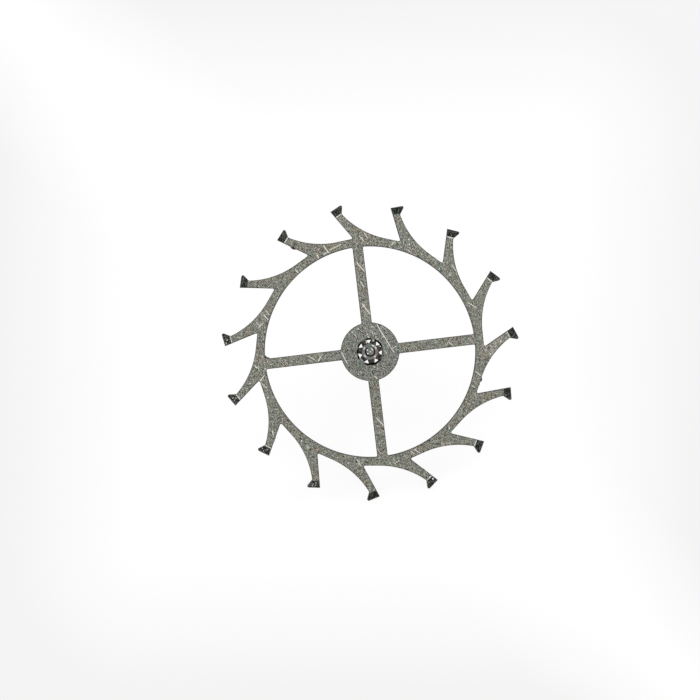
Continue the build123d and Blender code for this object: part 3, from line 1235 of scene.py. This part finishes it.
def makeFloor(cameraPlace):
    bm = bmesh.new()
    bmesh.ops.create_grid(bm, x_segments=1, y_segments=1, size=studio["floorSize"] / 2)
    mesh = bpy.data.meshes.new("table")
    bm.to_mesh(mesh)
    bm.free()
    material = bpy.data.materials.new("tableWhite")
    nodes = Nodes(material)
    rays = nodes.add("ShaderNodeLightPath").outputs
    kinds = ("Is Camera Ray", "Is Glossy Ray", "Is Transmission Ray")
    seen = nodes.most(rays[kind] for kind in kinds)
    matt = nodes.add("ShaderNodeBsdfDiffuse")
    matt.inputs["Color"].default_value = grey(studio["floorMatt"])
    faint = nodes.add("ShaderNodeBsdfDiffuse")
    faint.inputs["Color"].default_value = grey(studio["floorDiffuse"])
    glow = nodes.add("ShaderNodeEmission")
    glow.inputs["Color"].default_value = grey(1)
    nodes.feed(glow.inputs["Strength"], tableGlow(nodes, cameraPlace))
    bright = nodes.add("ShaderNodeAddShader")
    nodes.feed(bright.inputs[0], glow.outputs[0])
    nodes.feed(bright.inputs[1], faint.outputs[0])
    choice = nodes.add("ShaderNodeMixShader")
    nodes.feed(choice.inputs["Fac"], seen)
    nodes.feed(choice.inputs[1], matt.outputs[0])
    nodes.feed(choice.inputs[2], bright.outputs[0])
    output = nodes.add("ShaderNodeOutputMaterial")
    nodes.feed(output.inputs["Surface"], choice.outputs[0])
    mesh.materials.append(material)
    floor = bpy.data.objects.new("table", mesh)
    bpy.context.scene.collection.objects.link(floor)


def makeWorld():
    world = bpy.data.worlds.new("paleRoom")
    bpy.context.scene.world = world
    nodes = Nodes(world)
    rays = nodes.add("ShaderNodeLightPath").outputs
    mirrored = nodes.most([rays["Is Glossy Ray"], rays["Is Transmission Ray"]])
    level = nodes.math("MULTIPLY_ADD", mirrored, 1 - studio["worldLevel"], studio["worldLevel"])
    past = studio["tableEdge"] - studio["worldLevel"]
    level = nodes.math("MULTIPLY_ADD", rays["Is Camera Ray"], past, level)
    sky = nodes.add("ShaderNodeBackground")
    sky.inputs["Color"].default_value = grey(1)
    nodes.feed(sky.inputs["Strength"], level)
    output = nodes.add("ShaderNodeOutputWorld")
    nodes.feed(output.inputs["Surface"], sky.outputs[0])


# Soft boxes low round the camera's line, each seen as a light in the slopes round the pivot
def makeBoxes():
    for angle, tilt, distance, radiance in studio["boxes"]:
        data = bpy.data.lights.new("softBox", "AREA")
        data.size = studio["boxSpan"] * distance
        data.energy = radiance * data.size**2 * pi
        box = bpy.data.objects.new("softBox", data)
        box.visible_diffuse = distance > studio["nearBox"]
        bpy.context.scene.collection.objects.link(box)
        box.matrix_world = (
            seatPlace
            @ Matrix.Rotation(radians(angle), 4, "Z")
            @ Matrix.Rotation(radians(tilt), 4, "Y")
            @ Matrix.Translation((0, 0, distance))
        )


def makeCamera():
    data = bpy.data.cameras.new("camera")
    data.lens = studio["lens"]
    data.sensor_width = studio["sensor"]
    data.clip_start, data.clip_end = studio["clip"]
    camera = bpy.data.objects.new("camera", data)
    bpy.context.scene.collection.objects.link(camera)
    pixel = photoScale * millimetre
    middle = studio["imagePixels"] / 2
    span = studio["imagePixels"] * pixel
    distance = span * studio["lens"] / studio["sensor"] + wheel["thickness"] * millimetre
    aside = (middle - wheelPixel[0]) * pixel
    above = (wheelPixel[1] - middle) * pixel
    camera.matrix_world = seatPlace @ Matrix.Translation((aside, above, distance))
    bpy.context.scene.camera = camera
    return camera.matrix_world.copy()


cameraPlace = makeCamera()
makeFloor(cameraPlace)
makeWorld()
makeBoxes()
bpy.context.scene.view_settings.view_transform = "Standard"
print("table, light and camera placed")
